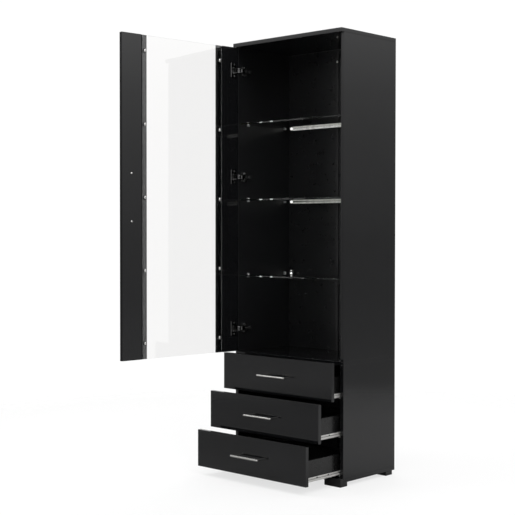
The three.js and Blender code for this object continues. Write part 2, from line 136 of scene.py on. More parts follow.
def ramp(tree, value, stops):
    """A colour ramp's output through (position, brightness) stops, scaled to fit below 1."""
    made = add(tree, "ValToRGB", {0: value})
    elements = made.color_ramp.elements
    while len(elements) < len(stops):
        elements.new(0.5)
    for element, (position, brightness) in zip(elements, stops):
        element.position = position
        element.color = grey(brightness / RAMP_SCALE)
    return made.outputs[0]


def mirror_ray(tree):
    """1 for a ray reflected by a glossy surface, and 0 for one that passed through glass."""
    rays = add(tree, "LightPath").outputs
    return maths(tree, "SUBTRACT", rays["Is Glossy Ray"], rays["Is Transmission Ray"])


def grey(value, tint=(1, 1, 1)):
    """A linear colour of that brightness."""
    return tuple(value * part for part in tint) + (1.0,)


def begin(name):
    """An empty node material, with its tree, object coordinates and output."""
    material = bpy.data.materials.new(name)
    material.use_nodes = True
    tree = material.node_tree
    tree.nodes.clear()
    output = add(tree, "OutputMaterial")
    place = add(tree, "TexCoord").outputs["Object"]
    return material, tree, place, output


# How much finer wear is than the clouds, and where satin starts and ends past the half width.
WEAR_TO_CLOUD = 3.7
INSIDE_FADE = (0.002, 0.006)


def surface(
    name, dark, light, rough, cloud=30, stretch=(1, 1, 1), bumps=(), inside=None, **sockets
):
    """A procedural material: cloudy colour and roughness, with bump from finer noise.

    rough is the lowest and highest roughness; bumps are (noise scale, height in metres);
    inside is (half width, added roughness) of the satin faces that look into the carcass;
    sockets are constants of the Principled shader.
    """
    material, tree, place, output = begin(name)
    mottle = noise(tree, place, cloud, 4.0, 0.6, stretch)
    wear = noise(tree, place, cloud * WEAR_TO_CLOUD, 5.0, 0.65, stretch)
    roughness = span(tree, wear, *NOISE_RANGE, *rough)
    if inside is not None:
        half, satin = inside
        start, end = (half + step for step in INSIDE_FADE)
        across = add(tree, "SeparateXYZ", {0: place}).outputs[0]
        outer = span(tree, maths(tree, "ABSOLUTE", across), start, end, 0, 1)
        added = maths(tree, "MULTIPLY", maths(tree, "SUBTRACT", 1, outer), satin)
        roughness = maths(tree, "ADD", roughness, added)
    ends = {
        "Base Color": blend(tree, span(tree, mottle, *NOISE_RANGE, 0, 1), dark, light),
        "Roughness": roughness,
    }
    normal = None
    for scale, height in bumps:
        grain = noise(tree, place, scale, 2.0, 0.5, stretch)
        inputs = {"Height": grain, "Distance": height, "Strength": 1.0}
        if normal is not None:
            inputs["Normal"] = normal
        normal = add(tree, "Bump", inputs).outputs[0]
    if normal is not None:
        ends["Normal"] = normal
    ends.update({key.replace("_", " "): value for key, value in sockets.items()})
    shader = add(tree, "BsdfPrincipled", ends)
    tree.links.new(shader.outputs[0], output.inputs[0])
    return material


CLEAR_FACING = (0.75, 0.9)
SMEAR_SCALE = 9
SMEAR_RANGE = (0.45, 0.75)
SMEAR_ROUGHNESS = (0.0, 0.012)


def glass(name, tint, edge_tint, edge_axis, lamp_tint):
    """Clear float glass with darker polished edges; lamps shine through it.

    edge_axis is the axis across the sheet: faces that look along it are the clear ones.
    """
    material, tree, place, output = begin(name)
    normal = add(tree, "TexCoord").outputs["Normal"]
    parts = add(tree, "SeparateXYZ", {0: normal}).outputs
    across = maths(tree, "ABSOLUTE", parts[edge_axis])
    clear = span(tree, across, *CLEAR_FACING, 0, 1)
    smear = noise(tree, place, SMEAR_SCALE, 3.0, 0.6)
    ends = {
        "Base Color": blend(tree, clear, edge_tint, tint),
        "Roughness": span(tree, smear, *SMEAR_RANGE, *SMEAR_ROUGHNESS),
        "Transmission Weight": 1.0,
        "IOR": 1.5,
    }
    shader = add(tree, "BsdfPrincipled", ends)
    through = add(tree, "BsdfTransparent", {"Color": lamp_tint})
    lamp_ray = add(tree, "LightPath").outputs["Is Shadow Ray"]
    both = add(tree, "MixShader", {0: lamp_ray, 1: shader.outputs[0], 2: through.outputs[0]})
    tree.links.new(both.outputs[0], output.inputs[0])
    return material


PATCH_SCALE = 55
PATCH_RANGE = (0.35, 0.65)
PATCH_SHADE = 0.72
PATCH_ROUGHNESS = 0.15


def glowing(name, colour, rough, strength):
    """Milky plastic with a little light of its own, patchy as over small lamps."""
    material, tree, place, output = begin(name)
    patches = noise(tree, place, PATCH_SCALE, 2.0, 0.5, (1, 1, 2))
    shade = tuple(PATCH_SHADE * part for part in colour[:3]) + (1.0,)
    tone = blend(tree, span(tree, patches, *PATCH_RANGE, 0, 1), shade, colour)
    ends = {
        "Base Color": tone,
        "Roughness": span(tree, patches, *NOISE_RANGE, rough, rough + PATCH_ROUGHNESS),
        "Emission Color": tone,
        "Emission Strength": strength,
    }
    shader = add(tree, "BsdfPrincipled", ends)
    tree.links.new(shader.outputs[0], output.inputs[0])
    return material


COOL = (0.96, 0.98, 1.08)
WARM = (1.04, 1.0, 0.93)
BRIGHT = (1.01, 1.0, 0.97)
GLOSS_BLACK = {
    "dark": grey(0.0042, COOL),
    "light": grey(0.0055, COOL),
    "rough": (0.012, 0.035),
    "cloud": 5,
    "bumps": ((6, 0.8e-6), (420, 0.15e-6)),
    "IOR": 1.5,
}
materials = {
    "gloss_black_board": surface("gloss_black_board", **GLOSS_BLACK),
    "drawer_board": surface(
        "drawer_board", grey(0.003), grey(0.005), (0.15, 0.24),
        cloud=18, bumps=((700, 2e-6),), IOR=1.6,
    ),
    "back_board": surface(
        "back_board", grey(0.0045, COOL), grey(0.0062, COOL), (0.26, 0.33),
        cloud=12, bumps=((520, 0.5e-6),), IOR=1.5,
    ),
    "joint_strip": surface(
        "joint_strip", grey(0.010), grey(0.014), (0.28, 0.4),
        cloud=22, stretch=(1, 1, 0.1), bumps=((300, 8e-6),), IOR=1.46,
    ),
    "foot_plastic": surface(
        "foot_plastic", grey(0.006), grey(0.009), (0.36, 0.5),
        cloud=60, bumps=((900, 15e-6),), IOR=1.46,
    ),
    "handle_metal": surface(
        "handle_metal", grey(0.49, BRIGHT), grey(0.65, BRIGHT), (0.15, 0.25),
        cloud=240, stretch=(0.05, 1, 1), bumps=((1500, 1.5e-6),), Metallic=1.0, Anisotropic=0.4,
    ),
    "hinge_nickel": surface(
        "hinge_nickel", grey(0.26), grey(0.38), (0.1, 0.2),
        cloud=150, bumps=((800, 2e-6),), Metallic=1.0,
    ),
    "runner_zinc": surface(
        "runner_zinc", grey(0.42, BRIGHT), grey(0.60, BRIGHT), (0.34, 0.5),
        cloud=90, stretch=(1, 0.12, 1), bumps=((900, 3e-6),), Metallic=0.35,
    ),
    "light_profile": surface(
        "light_profile", grey(0.30, WARM), grey(0.40, WARM), (0.25, 0.4),
        cloud=120, stretch=(0.1, 1, 1), bumps=((800, 3e-6),), IOR=1.46,
    ),
    "shelf_glass": glass(
        "shelf_glass", (0.97, 0.98, 0.975, 1), (0.2, 0.24, 0.23, 1), 2, (0.86, 0.9, 0.88, 1)
    ),
    "door_glass": glass(
        "door_glass", (0.940, 0.937, 0.933, 1), (0.5, 0.62, 0.58, 1), 0, (0.9, 0.93, 0.92, 1)
    ),
}
dark_plastic = surface(
    "dark_plastic", grey(0.008), grey(0.013), (0.28, 0.42), cloud=300, bumps=((1200, 5e-6),)
)
# Matt black rubber for the gasket; the same finish paints shade on the runners' slots and seam.
matt_rubber_and_shade = surface(
    "matt_rubber_and_shade", grey(0.004), grey(0.006), (0.6, 0.75), cloud=200, bumps=((900, 8e-6),)
)
# A darker copy of the hinge nickel for the hinge cups: painted shade for the dark hollow of the
# cup.
cup_nickel = surface(
    "cup_nickel", grey(0.07), grey(0.11), (0.12, 0.22), cloud=150, bumps=((800, 2e-6),),
    Metallic=1.0,
)
# A darker copy of the hinge nickel for the cups' rails: painted shade.
rail_nickel = surface(
    "rail_nickel", grey(0.10), grey(0.16), (0.14, 0.24), cloud=150, bumps=((800, 2e-6),),
    Metallic=1.0,
)
clamp_metal = surface(
    "clamp_metal", grey(0.22), grey(0.30), (0.3, 0.42), cloud=200, bumps=((800, 2e-6),),
    Metallic=0.4,
)
bright_cap = surface(
    "bright_cap", grey(0.78, BRIGHT), grey(0.88, BRIGHT), (0.2, 0.32), cloud=260,
    bumps=((900, 2e-6),), Metallic=0.65,
)
side_board = surface("side_board", inside=(0.284, 0.3), **GLOSS_BLACK)
drawer_side = surface(
    "drawer_side_board", grey(0.0035), grey(0.0055), (0.2, 0.3), cloud=18,
    bumps=((700, 2e-6),), IOR=1.47,
)
warm_strip = glowing("diffuser_warm", (0.28, 0.255, 0.155, 1), 0.3, 0.02)
lit_white = glowing("diffuser_white", (0.80, 0.80, 0.77, 1), 0.25, 0.30)
dim_white = glowing("dim_white_glow", (0.66, 0.66, 0.62, 1), 0.25, 0.12)
lit_lens = glowing("diffuser_lens", (0.9, 0.9, 0.88, 1), 0.15, 1.1)

# Nodes whose finish differs from the rest of their slot; the hinge cups' darker nickel is painted
# shade.
SPECIAL = {
    "hinge_cup": cup_nickel,
    "side_upper": side_board,
    "side_lower": side_board,
    "light_clip": dark_plastic,
    **{f"drawer_{name}_side": drawer_side for name in DRAWERS},
}


# ---------------------------------------------------------------- CAD nodes

BEVELS = {
    "gloss_black_board": 0.6 * MM,
    "drawer_board": 0.5 * MM,
    "back_board": 0.15 * MM,
    "joint_strip": 0.3 * MM,
    "foot_plastic": 0.8 * MM,
    "handle_metal": 0.35 * MM,
    "hinge_nickel": 0.25 * MM,
    "runner_zinc": 0.2 * MM,
    "light_profile": 0.6 * MM,
    "shelf_glass": 0.6 * MM,
    "door_glass": 0.5 * MM,
}
WELD_DISTANCE = 0.005 * MM
FLAT_ANGLE = math.radians(0.5)
BEVEL_ANGLE = math.radians(32)
BEVEL_STEPS = 2


def soften(piece, width):
    """Joins a piece's faces, then rounds its edges with shading that stays flat on its faces."""
    weld = piece.modifiers.new("weld", "WELD")
    weld.merge_threshold = WELD_DISTANCE
    flat = piece.modifiers.new("flat", "DECIMATE")
    flat.decimate_type = "DISSOLVE"
    flat.angle_limit = FLAT_ANGLE
    round_off(piece, width)


def round_off(piece, width):
    """A bevel on the sharp edges, with normals weighted so that large faces shade flat."""
    for face in piece.data.polygons:
        face.use_smooth = True
    bevel = piece.modifiers.new("bevel", "BEVEL")
    bevel.width = width
    bevel.segments = BEVEL_STEPS
    bevel.limit_method = "ANGLE"
    bevel.angle_limit = BEVEL_ANGLE
    piece.modifiers.new("normals", "WEIGHTED_NORMAL").weight = 100


def finish_cad_nodes():
    """Gives each CAD node its procedural material and softened edges."""
    for name, node in frame["nodes"].items():
        slot = node.data.materials[0].name.split(".")[0]
        family = name.rsplit("_", 1)[0]
        node.material_slots[0].link = "OBJECT"
        node.material_slots[0].material = SPECIAL.get(family, materials[slot])
        soften(node, BEVELS[slot])


# ---------------------------------------------------------------- shapes

SHARP_ANGLE = math.radians(35)
ROUND_STEPS = 28

# A screw head's rim as shares of its radius and height, then its cap, and the cross in it.
HEAD_RIM = ((0, -0.1), (1, -0.1), (1, 0.3), (0.92, 0.66), (0.72, 0.9), (0, 0.9))
HEAD_CAP = 0.72
HEAD_CAP_BASE = 0.4
HEAD_CROSS = (0.5, 0.13)

# Radius and height of each kind of screw head.
SCREWS = {
    "handle_screw": (3.6 * MM, 2.2 * MM),
    "retainer_screw": (2.1 * MM, 1.2 * MM),
    "hinge_screw": (4.1 * MM, 1.6 * MM),
    "plate_screw": (4.6 * MM, 2 * MM),
    "adjusting_screw": (3.1 * MM, 1.2 * MM),
    "strip_screw": (2.2 * MM, 1 * MM),
    "drawer_handle_screw": (4.2 * MM, 2.2 * MM),
    "runner_screw": (3.2 * MM, 1.2 * MM),
}


def mesh_of(name, points, faces):
    """A mesh with its faces turned outwards."""
    mesh = bpy.data.meshes.new(name)
    mesh.from_pydata(points, [], faces)
    work = bmesh.new()
    work.from_mesh(mesh)
    bmesh.ops.recalc_face_normals(work, faces=work.faces)
    work.to_mesh(mesh)
    work.free()
    for face in mesh.polygons:
        face.use_smooth = True
    mesh.set_sharp_from_angle(angle=SHARP_ANGLE)
    return mesh


def turned(name, profile, steps=ROUND_STEPS):
    """A closed turned solid about Z from (radius, height) pairs that start and end on it."""
    points, faces, rings = [], [], []
    for radius, height in profile:
        if radius == 0:
            rings.append([len(points)])
            points.append((0, 0, height))
            continue
        rings.append(list(range(len(points), len(points) + steps)))
        for i in range(steps):
            turn = 2 * math.pi * i / steps
            points.append((radius * math.cos(turn), radius * math.sin(turn), height))
    for low, high in zip(rings, rings[1:]):
        for i in range(steps):
            j = (i + 1) % steps
            if len(low) == 1:
                faces.append((low[0], high[i], high[j]))
            elif len(high) == 1:
                faces.append((low[i], low[j], high[0]))
            else:
                faces.append((low[i], low[j], high[j], high[i]))
    return mesh_of(name, points, faces)


def sheet(name, outline, low, high, holes=()):
    """A plate along Z from a closed outline, with any holes cut through it."""
    work = bmesh.new()
    loops = [outline, *holes]
    edges = []
    for loop in loops:
        corners = [work.verts.new((x, y, low)) for x, y in loop]
        pairs = zip(corners, corners[1:] + corners[:1])
        edges += [work.edges.new(pair) for pair in pairs]
    filled = bmesh.ops.triangle_fill(work, use_beauty=True, edges=edges)
    faces = [f for f in filled["geom"] if isinstance(f, bmesh.types.BMFace)]
    grown = bmesh.ops.extrude_face_region(work, geom=faces)
    moved = [v for v in grown["geom"] if isinstance(v, bmesh.types.BMVert)]
    bmesh.ops.translate(work, verts=moved, vec=(0, 0, high - low))
    bmesh.ops.recalc_face_normals(work, faces=work.faces)
    mesh = bpy.data.meshes.new(name)
    work.to_mesh(mesh)
    work.free()
    return mesh


def ring(radius, steps):
    """Points round a circle."""
    turns = [2 * math.pi * i / steps for i in range(steps)]
    return [(radius * math.cos(turn), radius * math.sin(turn)) for turn in turns]


def rounded(width, height, radius, steps=5):
    """Points round a rectangle with rounded corners, centred on the origin."""
    points = []
    for sx, sy, start in ((1, 1, 0), (-1, 1, 90), (-1, -1, 180), (1, -1, 270)):
        cx, cy = sx * (width / 2 - radius), sy * (height / 2 - radius)
        for i in range(steps + 1):
            turn = math.radians(start + 90 * i / steps)
            points.append((cx + radius * math.cos(turn), cy + radius * math.sin(turn)))
    return points


def cross(reach, half):
    """Points round a cross-shaped driver recess."""
    quarter = [(reach, -half), (reach, half), (half, half)]
    points = []
    for turn in range(4):
        c, s = round(math.cos(turn * math.pi / 2)), round(math.sin(turn * math.pi / 2))
        points += [(c * x - s * y, s * x + c * y) for x, y in quarter]
    return points


def screw_mesh(name):
    """A domed screw head with a cross recess, sitting on Z = 0."""
    radius, height = SCREWS[name]
    rim = turned(name + "_rim", [(across * radius, up * height) for across, up in HEAD_RIM])
    reach, half = (share * radius for share in HEAD_CROSS)
    cap = sheet(
        name + "_cap", ring(HEAD_CAP * radius, ROUND_STEPS), HEAD_CAP_BASE * height, height,
        [cross(reach, half)],
    )
    work = bmesh.new()
    work.from_mesh(rim)
    work.from_mesh(cap)
    work.to_mesh(rim)
    work.free()
    bpy.data.meshes.remove(cap)
    return rim


def joined(name, pieces):
    """One mesh from several (mesh, matrix) pairs."""
    work = bmesh.new()
    for mesh, matrix in pieces:
        copy = mesh.copy()
        copy.transform(matrix)
        work.from_mesh(copy)
        bpy.data.meshes.remove(copy)
    mesh = bpy.data.meshes.new(name)
    work.to_mesh(mesh)
    work.free()
    return mesh


# Turns a sheet so that its outline's x and y are the row frame's y and z.
ALONG_X = Matrix(((0, 0, 1, 0), (1, 0, 0, 0), (0, 1, 0, 0), (0, 0, 0, 1)))


def at(place, towards=Z_AXIS, spin=0.0):
    """The matrix that stands a shape's Z along towards, at place."""
    turn = Vector(towards).to_track_quat("Z", "Y").to_matrix().to_4x4()
    return Matrix.Translation(Vector(place)) @ turn @ Matrix.Rotation(spin, 4, "Z")


def put(name, mesh, matrix, body, slot, material=None, bevel=0.0):
    """A named piece that rides on a CAD body, finished as its record slot unless a material is
    given.
    """
    piece = bpy.data.objects.new(name, mesh)
    bpy.context.scene.collection.objects.link(piece)
    piece.matrix_world = matrix
    if not mesh.materials:
        mesh.materials.append(material or materials[slot])
    if bevel:
        round_off(piece, bevel)
    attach(piece, body)
    return piece


# ---------------------------------------------------------------- the door

hinge = next(j for j in frame["joints"] if j["name"] == "door_hinge")
PIVOT = Vector(hinge["pos_m"])
OPEN_ANGLE = math.radians(hinge["range_deg"][0])
DOOR_TURN = (
    Matrix.Translation(PIVOT) @ Matrix.Rotation(OPEN_ANGLE, 4, "Z") @ Matrix.Translation(-PIVOT)
)
HANDLE_SCREW_SPREAD = 96 * MM

# The retainers: pad width, height and corner, dome profile (radius, height) and its stretch.
RETAINER_PITCH = 294 * MM
RETAINER_INSET = 12.8 * MM
RETAINER_PAD = (14 * MM, 17 * MM, 6.6 * MM)
RETAINER_PAD_THICKNESS = 1.8 * MM
RETAINER_DOME = (
    (0, 0), (4.4 * MM, 0), (4.4 * MM, 0.8 * MM), (3.9 * MM, 1.7 * MM), (2.9 * MM, 2.3 * MM),
    (0, 2.6 * MM),
)
RETAINER_STRETCH = 1.42
RETAINER_CAP_RISE = 1.7 * MM
RETAINER_SCREW_RISE = 4.1 * MM

# The gasket beside the pane: its foot fills most of the groove, its lip covers the pane's edge.
GASKET_CLEAR = 0.15 * MM
GASKET_BASE = 0.2 * MM
GASKET_FOOT = 4.05 * MM
GASKET_FOOT_RISE = 0.6 * MM
GASKET_LIP_FOOT = 0.65 * MM
GASKET_LIP_TOP = 0.5 * MM
GASKET_LIP_SHARE = 0.96
GASKET_END_GAP = 1 * MM

# The hinge cups: a half-round rail, two screws, and two link tabs drawn in outline.
CUP_RAIL_WIDTH = 7 * MM
CUP_RAIL_RISE = 1.7 * MM
CUP_RAIL_LENGTH = 0.98
CUP_SCREW_SPREAD = 24 * MM
CUP_SCREW_ACROSS = 0.4
CUP_TAB = (
    (-7 * MM, -9 * MM), (7 * MM, -9 * MM), (8 * MM, -1 * MM), (5 * MM, 2.4 * MM),
    (0, 3.2 * MM), (-4 * MM, 1.5 * MM), (-7 * MM, -3 * MM),
)
CUP_TAB_HALF = 0.6 * MM
CUP_TAB_INSET = 14.5 * MM
CUP_TAB_SINK = 1.5 * MM
CUP_TAB_SPREAD = 10.4 * MM


def closed_box(node):
    """A door node's lowest and highest corners with the door closed."""
    back = DOOR_TURN.inverted()
    points = [back @ v.co for v in frame["nodes"][node].data.vertices]
    low = Vector(min(p[i] for p in points) for i in range(3))
    high = Vector(max(p[i] for p in points) for i in range(3))
    return low, high


def put_on_door(name, mesh, place, towards, slot, material=None, spin=0.0, bevel=0.0):
    """A door piece placed as if the door were closed, then turned with it."""
    matrix = DOOR_TURN @ at(place, towards, spin)
    return put(name, mesh, matrix, "door", slot, material, bevel)


def dress_door():
    """Everything fixed to the door: retainers, gasket, handle screws and cup fittings."""
    dress_glass()
    handle_low, handle_high = closed_box("door_handle")
    stile_low, stile_high = closed_box("door_stile_hinge")
    middle = (stile_low.z + stile_high.z) / 2
    large = screw_mesh("handle_screw")
    handle_x = (handle_low.x + handle_high.x) / 2
    for side, way in (("lower", -1), ("upper", 1)):
        place = Vector((handle_x, stile_high.y, middle + way * HANDLE_SCREW_SPREAD))
        put_on_door(f"door_handle_screw_{side}", large, place, Y_AXIS, "hinge_nickel",
                    bright_cap, spin=way)
    for level in LEVELS:
        dress_cup(level)


def dress_glass():
    """Ten retainers that hold the pane, and the rubber gasket along its edge by the handle."""
    pane_low, pane_high = closed_box("door_glass")
    stile_low, stile_high = closed_box("door_stile_hinge")
    pane_face = pane_high.y
    middle = (stile_low.z + stile_high.z) / 2
    columns = (
        ("hinge_side", pane_low.x + RETAINER_INSET),
        ("handle_side", pane_high.x - RETAINER_INSET),
    )

    pad = sheet("retainer_pad", rounded(*RETAINER_PAD), 0, RETAINER_PAD_THICKNESS)
    dome = turned("retainer_dome", RETAINER_DOME)
    dome.transform(Matrix.Diagonal((1, RETAINER_STRETCH, 1, 1)))
    head = screw_mesh("retainer_screw")
    for column, x in columns:
        for i in range(-2, 3):
            z = middle + i * RETAINER_PITCH
            name = f"glass_retainer_{column}_{i + 3}"
            place = Vector((x, pane_face, z))
            put_on_door(name, pad, place, Y_AXIS, "foot_plastic", dark_plastic, bevel=0.5 * MM)
            place = Vector((x, pane_face + RETAINER_CAP_RISE, z))
            put_on_door(name + "_cap", dome, place, Y_AXIS, "hinge_nickel", bright_cap)
            place = Vector((x, pane_face + RETAINER_SCREW_RISE, z))
            put_on_door(name + "_screw", head, place, Y_AXIS, "hinge_nickel", spin=0.4 * i)

    length = stile_high.z - stile_low.z - 2 * GASKET_END_GAP
    rim = GASKET_LIP_SHARE * (pane_high.y - pane_low.y)
    gasket = sheet("glazing_gasket", [
        (GASKET_CLEAR, GASKET_BASE), (GASKET_FOOT, GASKET_BASE), (GASKET_FOOT, GASKET_FOOT_RISE),
        (GASKET_LIP_FOOT, GASKET_FOOT_RISE), (GASKET_LIP_TOP, rim), (GASKET_CLEAR, rim),
    ], 0, length)
    place = Vector((pane_high.x, pane_low.y, stile_low.z + GASKET_END_GAP))
    put("glazing_gasket", gasket, DOOR_TURN @ Matrix.Translation(place), "door",
        "foot_plastic", matt_rubber_and_shade)


def dress_cup(level):
    """A hinge cup's raised rail, screws, and the two link tabs inside it."""
    low, high = closed_box(f"hinge_cup_{level}")
    z = (low.z + high.z) / 2
    face = high.y
    half_length = CUP_RAIL_LENGTH * (high.z - low.z) / 2
    rail = sheet("cup_rail", [
        (-CUP_RAIL_WIDTH / 2 * math.cos(turn), CUP_RAIL_RISE * math.sin(turn))
        for turn in HALF_TURN
    ], -half_length, half_length)
    place = Vector((high.x - CUP_RAIL_WIDTH / 2, face, z))
    # The rail takes the darker nickel copy: painted shade.
    put(f"hinge_cup_{level}_rail", rail, DOOR_TURN @ Matrix.Translation(place), "door",
        "hinge_nickel", rail_nickel, bevel=0.4 * MM)

    small = screw_mesh("hinge_screw")
    screw_x = low.x + CUP_SCREW_ACROSS * (high.x - low.x)
    for end, way in ENDS:
        place = Vector((screw_x, face, z + way * CUP_SCREW_SPREAD))
        put_on_door(f"hinge_cup_{level}_screw_{end}", small, place, Y_AXIS, "hinge_nickel",
                    spin=0.5 * way)

    tab = sheet("cup_tab", CUP_TAB, -CUP_TAB_HALF, CUP_TAB_HALF)
    for end, way in ENDS:
        place = Vector((low.x + CUP_TAB_INSET, face - CUP_TAB_SINK, z + way * CUP_TAB_SPREAD))
        put(f"hinge_cup_{level}_tab_{end}", tab, DOOR_TURN @ Matrix.Translation(place), "door",
            "hinge_nickel", bevel=0.2 * MM)


# ---------------------------------------------------------------- the carcass

# Outlines of a hinge arm's parts: millimetres off the wall, and behind the pivot.
CHEEK = (
    (3.6, 76), (13.4, 76), (15.9, 70), (15.9, 38), (16.9, 24), (16.4, 14), (14.2, 6), (10, 0.8),
    (5.6, -0.8), (4.4, 1.4), (8.4, 7.5), (10.4, 15), (9.4, 24), (3.6, 32),
)
LEG = ((-7.4, -2.6), (6.8, -2.6), (7, 34), (4.2, 34), (4, -1.4), (-7.4, -1.4))
WEB = ((14.2, 37), (15.6, 35.5), (15.6, 70), (13.6, 76.5), (12.4, 76.2), (14.2, 69.5))
# The same parts' half widths, and the plate, lever and pins in metres.
CHEEK_HALF, LEG_HALF, WEB_HALF = 0.6 * MM, 4.4 * MM, 7 * MM
CHEEK_SPREAD = 7.6 * MM
PLATE = (28 * MM, 43.6 * MM, 5 * MM)
PLATE_WAIST = 0.22
PLATE_WAIST_HEIGHT = 7 * MM
PLATE_GAP = 0.3 * MM
PLATE_TOP = 3.2 * MM
PLATE_BEHIND = 45 * MM
PLATE_SCREW_SPREAD = 15.5 * MM
LEVER = (9 * MM, 11 * MM, 3 * MM)
LEVER_SPAN = (3.4 * MM, 12 * MM)
LEVER_BEHIND = 72 * MM
PIN_RADIUS = 2 * MM
PIN_HALF_LENGTH = 8.6 * MM
PINS = ((12.6 * MM, 18 * MM), (9.2 * MM, 3.6 * MM))
ADJUSTERS = (("front", 44 * MM), ("rear", 62 * MM))
ADJUSTER_OFF_WALL = 15.5 * MM
# Turns the two adjusting screws' crosses differently: radians for each metre behind the pivot.
ADJUSTER_SPIN = 20


def hinge_arm_mesh(z):
    """A channel arm with hooked cheeks on a waisted plate, in the row frame at height z."""
    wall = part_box("side_upper_left")[1].x

    def section(name, outline, half):
        """A plate along Z from an outline off the wall and behind the pivot."""
        points = [(wall + off * MM, PIVOT.y + behind * MM) for off, behind in outline]
        return sheet(name, points, -half, half)

    cheek = section("cheek", CHEEK, CHEEK_HALF)
    leg = section("leg", LEG, LEG_HALF)
    web = section("web", WEB, WEB_HALF)
    waist = [
        (y * (1 - PLATE_WAIST * math.exp(-(h / PLATE_WAIST_HEIGHT) ** 2)), h)
        for y, h in rounded(*PLATE)
    ]
    plate = sheet("plate", waist, wall + PLATE_GAP, wall + PLATE_TOP)
    pin = turned("pin", [
        (0, -PIN_HALF_LENGTH), (PIN_RADIUS, -PIN_HALF_LENGTH), (PIN_RADIUS, PIN_HALF_LENGTH),
        (0, PIN_HALF_LENGTH),
    ], 16)
    near, far = (wall + off for off in LEVER_SPAN)
    lever = sheet("lever", rounded(*LEVER), near, far)
    lift = Matrix.Translation((0, 0, z))
    pieces = [
        (leg, lift),
        (web, lift),
        (plate, Matrix.Translation((0, PIVOT.y + PLATE_BEHIND, z)) @ ALONG_X),
        (lever, Matrix.Translation((0, PIVOT.y + LEVER_BEHIND, z)) @ ALONG_X),
    ]
    for off, behind in PINS:
        pieces.append((pin, Matrix.Translation((wall + off, PIVOT.y + behind, z))))
    for way in (-1, 1):
        pieces.append((cheek, Matrix.Translation((0, 0, z + way * CHEEK_SPREAD))))
    return joined("hinge_arm", pieces)


def dress_hinge_arms():
    """Detailed hinge arms in place of the plain ones, with plate and adjusting screws."""
    plate = screw_mesh("plate_screw")
    adjust = screw_mesh("adjusting_screw")
    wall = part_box("side_upper_left")[1].x
    for level in LEVELS:
        low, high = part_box(f"hinge_arm_{level}")
        z = (low.z + high.z) / 2
        arm = put(f"hinge_arm_body_{level}", hinge_arm_mesh(z), Matrix(), "cabinet",
                  "hinge_nickel", bevel=0.3 * MM)
        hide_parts(f"hinge_arm_{level}")
        for end, way in ENDS:
            place = Vector((
                wall + PLATE_TOP, PIVOT.y + PLATE_BEHIND, z + way * PLATE_SCREW_SPREAD,
            ))
            put(f"hinge_plate_{level}_screw_{end}", plate, at(place, X_AXIS, way), "cabinet",
                "hinge_nickel")
        for end, behind in ADJUSTERS:
            place = Vector((wall + ADJUSTER_OFF_WALL, PIVOT.y + behind, z))
            put(f"hinge_arm_{level}_screw_{end}", adjust, at(place, X_AXIS, behind * ADJUSTER_SPIN),
                "cabinet", "hinge_nickel")


# The shelf clamps: rows front to back, the jaws' outline, and the turned pin and screw.
CLAMP_ROWS = (("front", -105 * MM), ("rear", 133 * MM))
CLAMP_JAWS = (
    (0.1 * MM, -8 * MM), (7 * MM, -8 * MM), (8 * MM, -7 * MM), (8 * MM, -3.2 * MM),
    (1.3 * MM, -3.2 * MM), (1.3 * MM, 3.2 * MM), (8 * MM, 3.2 * MM), (8 * MM, 7 * MM),
    (6.5 * MM, 9.6 * MM), (4 * MM, 10.6 * MM), (0.1 * MM, 10.6 * MM),
)
CLAMP_HALF_WIDTH = 5 * MM
CLAMP_PIN = ((0, -6 * MM), (2.4 * MM, -6 * MM), (2.4 * MM, 0.2 * MM), (0, 0.2 * MM))
CLAMP_PIN_DROP = 5.5 * MM
CLAMP_SCREW = (
    (0, 0), (2.4 * MM, 0), (2.4 * MM, 0.7 * MM), (1.8 * MM, 1.3 * MM), (0, 1.5 * MM),
)
CLAMP_SCREW_OUT = 7.9 * MM
CLAMP_SCREW_RISE = 5.6 * MM


def dress_shelves():
    """Four clamps that hold each glass shelf off the side panels, with their pins."""
    jaws = sheet("shelf_clamp", CLAMP_JAWS, -CLAMP_HALF_WIDTH, CLAMP_HALF_WIDTH)
    stand = Matrix.Rotation(math.pi / 2, 4, "X")
    pin = turned("shelf_pin", CLAMP_PIN)
    knob = turned("clamp_screw", CLAMP_SCREW)
    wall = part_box("side_upper_right")[0].x
    for level in LEVELS:
        low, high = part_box(f"glass_shelf_{level}")
        z = (low.z + high.z) / 2
        for side, way in SIDES:
            facing = Matrix.Rotation(math.pi, 4, "Z") if way > 0 else Matrix()
            inwards = Vector((-way, 0, 0))
            for row, y in CLAMP_ROWS:
                name = f"shelf_clamp_{level}_{side}_{row}"
                foot = Vector((way * wall, y, z))
                put(name, jaws, Matrix.Translation(foot) @ facing @ stand, "cabinet",
                    "hinge_nickel", clamp_metal, bevel=0.5 * MM)
                place = foot - CLAMP_PIN_DROP * Z_AXIS
                put(name + "_pin", pin, at(place, inwards), "cabinet", "hinge_nickel")
                place = foot + CLAMP_SCREW_OUT * inwards + CLAMP_SCREW_RISE * Z_AXIS
                put(name + "_screw", knob, at(place, inwards), "cabinet", "hinge_nickel",
                    bright_cap)


LENS_CELLS = 10
LENS_BULGE = 2.6 * MM
LENS_GAP = 0.35 * MM
BUTTON_RIM = 0.25
BUTTON_STEPS = 6


def lens_row(low, high, centre, rise):
    """A row of rounded lens cells from low to high along X, centred at height centre."""
    pitch = (high - low) / LENS_CELLS
    section = [
        (-LENS_BULGE * math.sin(turn), rise / 2 * math.cos(turn)) for turn in HALF_TURN
    ]
    cell = sheet("lens_cell", section, -pitch / 2 + LENS_GAP, pitch / 2 - LENS_GAP)
    row = joined("lens_row", [
        (cell, Matrix.Translation((low + (i + 0.5) * pitch, 0, centre)) @ ALONG_X)
        for i in range(LENS_CELLS)
    ])
    bpy.data.meshes.remove(cell)
    return row


